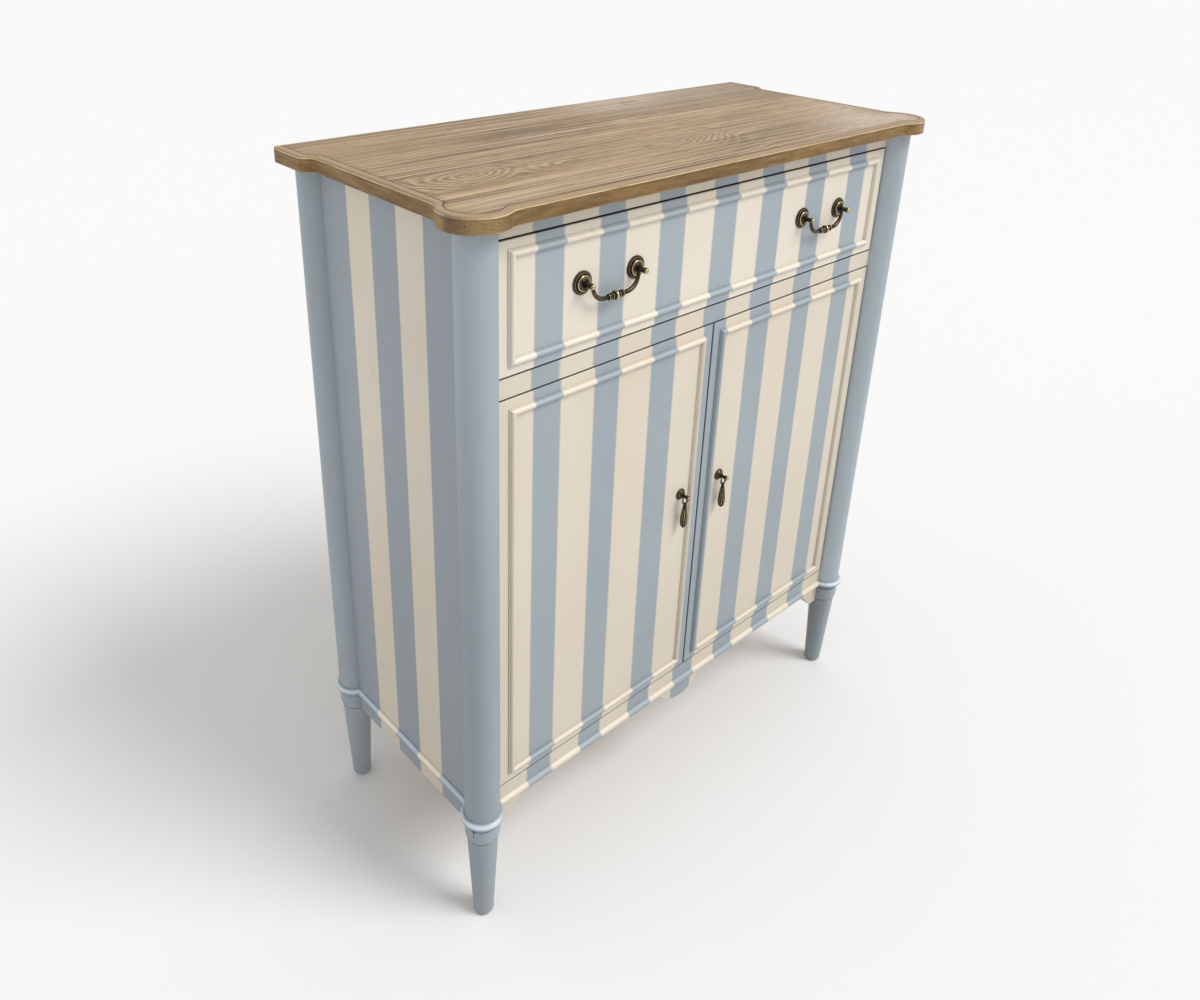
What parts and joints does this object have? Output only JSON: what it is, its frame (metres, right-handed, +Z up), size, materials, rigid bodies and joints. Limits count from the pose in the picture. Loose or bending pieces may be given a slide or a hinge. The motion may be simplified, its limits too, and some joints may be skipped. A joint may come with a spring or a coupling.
{
  "type": "painted two-door cabinet with drawer",
  "caption": "Floor-standing painted hall cabinet on turned legs: one full-width drawer over a pair of doors, round corner posts and a serpentine oak top.",
  "frame": {"origin": "centre of the footprint on the floor", "axes": "+Z up, the doors and drawer face -Y, +X is to the right of someone facing them"},
  "size_m": [0.7626, 0.3457, 0.9],
  "materials": {
    "stripe_paint": "satin-matt striped paint, cream bands on grey-blue",
    "blue_paint": "satin-matt grey-blue paint",
    "oak_veneer": "open-grained oak veneer, matt lacquer",
    "oak_edging": "stained solid oak edging, satin",
    "carcass_wood": "bare beech and pine",
    "plywood": "bare plywood",
    "old_brass": "darkened antique brass, worn bright on the high spots",
    "steel": "zinc-plated steel",
    "catch_body": "matt off-white plastic",
    "glide": "matt dark nylon"
  },
  "bodies": {
    "cabinet": {"top_board": "oak_veneer", "top_edge_front": "oak_edging", "top_edge_left": "oak_edging", "top_edge_right": "oak_edging", "post_front_left": "blue_paint", "post_front_right": "blue_paint", "post_rear_left": "blue_paint", "post_rear_right": "blue_paint", "leg_front_left": "blue_paint", "leg_front_right": "blue_paint", "leg_rear_left": "blue_paint", "leg_rear_right": "blue_paint", "side_panel_left": "stripe_paint", "side_panel_right": "stripe_paint", "top_rail": "stripe_paint", "mid_rail": "stripe_paint", "bottom_rail": "stripe_paint", "front_bead": "stripe_paint", "side_bead_left": "stripe_paint", "side_bead_right": "stripe_paint", "apron_brackets": "stripe_paint", "apron_drop": "stripe_paint", "back_panel": "plywood", "dust_panel": "plywood", "bottom_panel": "carcass_wood", "shelf": "carcass_wood", "rear_top_rail": "carcass_wood", "rear_bottom_rail": "carcass_wood", "drawer_runners": "carcass_wood", "drawer_kickers": "carcass_wood", "drawer_stops": "carcass_wood", "leg_bolts": "steel", "top_screws": "steel", "pivot_plate_screws": "steel", "pivot_plates": "steel", "shelf_pins": "steel", "door_catches": "catch_body", "foot_glides": "glide"},
    "drawer": {"drawer_front": "stripe_paint", "drawer_moulding": "stripe_paint", "drawer_side_left": "carcass_wood", "drawer_side_right": "carcass_wood", "drawer_back": "carcass_wood", "drawer_bottom": "plywood", "pull_posts": "old_brass", "pull_screws": "steel"},
    "bail_left": {"bail_left": "old_brass"},
    "bail_right": {"bail_right": "old_brass"},
    "door_left": {"door_left_panel": "stripe_paint", "door_left_moulding": "stripe_paint", "door_left_bushes": "old_brass", "door_left_strike": "steel", "door_left_knob": "old_brass"},
    "door_right": {"door_right_panel": "stripe_paint", "door_right_moulding": "stripe_paint", "door_right_bushes": "old_brass", "door_right_strike": "steel", "door_right_knob": "old_brass"},
    "pendant_left": {"door_left_pendant": "old_brass"},
    "pendant_right": {"door_right_pendant": "old_brass"}
  },
  "joints": [
    {"name": "drawer_slide", "type": "slide", "parent": "cabinet", "child": "drawer", "axis": [0, -1, 0], "range_m": [0, 0.22]},
    {"name": "door_left_hinge", "type": "hinge", "parent": "cabinet", "child": "door_left", "pos_m": [-0.3145, -0.1359, 0.45], "axis": [0, 0, -1], "range_deg": [0, 95]},
    {"name": "door_right_hinge", "type": "hinge", "parent": "cabinet", "child": "door_right", "pos_m": [0.3145, -0.1359, 0.45], "axis": [0, 0, 1], "range_deg": [0, 95]},
    {"name": "bail_left_hinge", "type": "hinge", "parent": "drawer", "child": "bail_left", "pos_m": [-0.178, -0.151, 0.7985], "axis": [-1, 0, 0], "range_deg": [0, 110]},
    {"name": "bail_right_hinge", "type": "hinge", "parent": "drawer", "child": "bail_right", "pos_m": [0.19, -0.151, 0.7985], "axis": [-1, 0, 0], "range_deg": [0, 110]},
    {"name": "pendant_left_hinge", "type": "hinge", "parent": "door_left", "child": "pendant_left", "pos_m": [-0.0365, -0.1494, 0.478], "axis": [-1, 0, 0], "range_deg": [0, 85]},
    {"name": "pendant_right_hinge", "type": "hinge", "parent": "door_right", "child": "pendant_right", "pos_m": [0.0365, -0.1494, 0.478], "axis": [-1, 0, 0], "range_deg": [0, 85]}
  ]
}
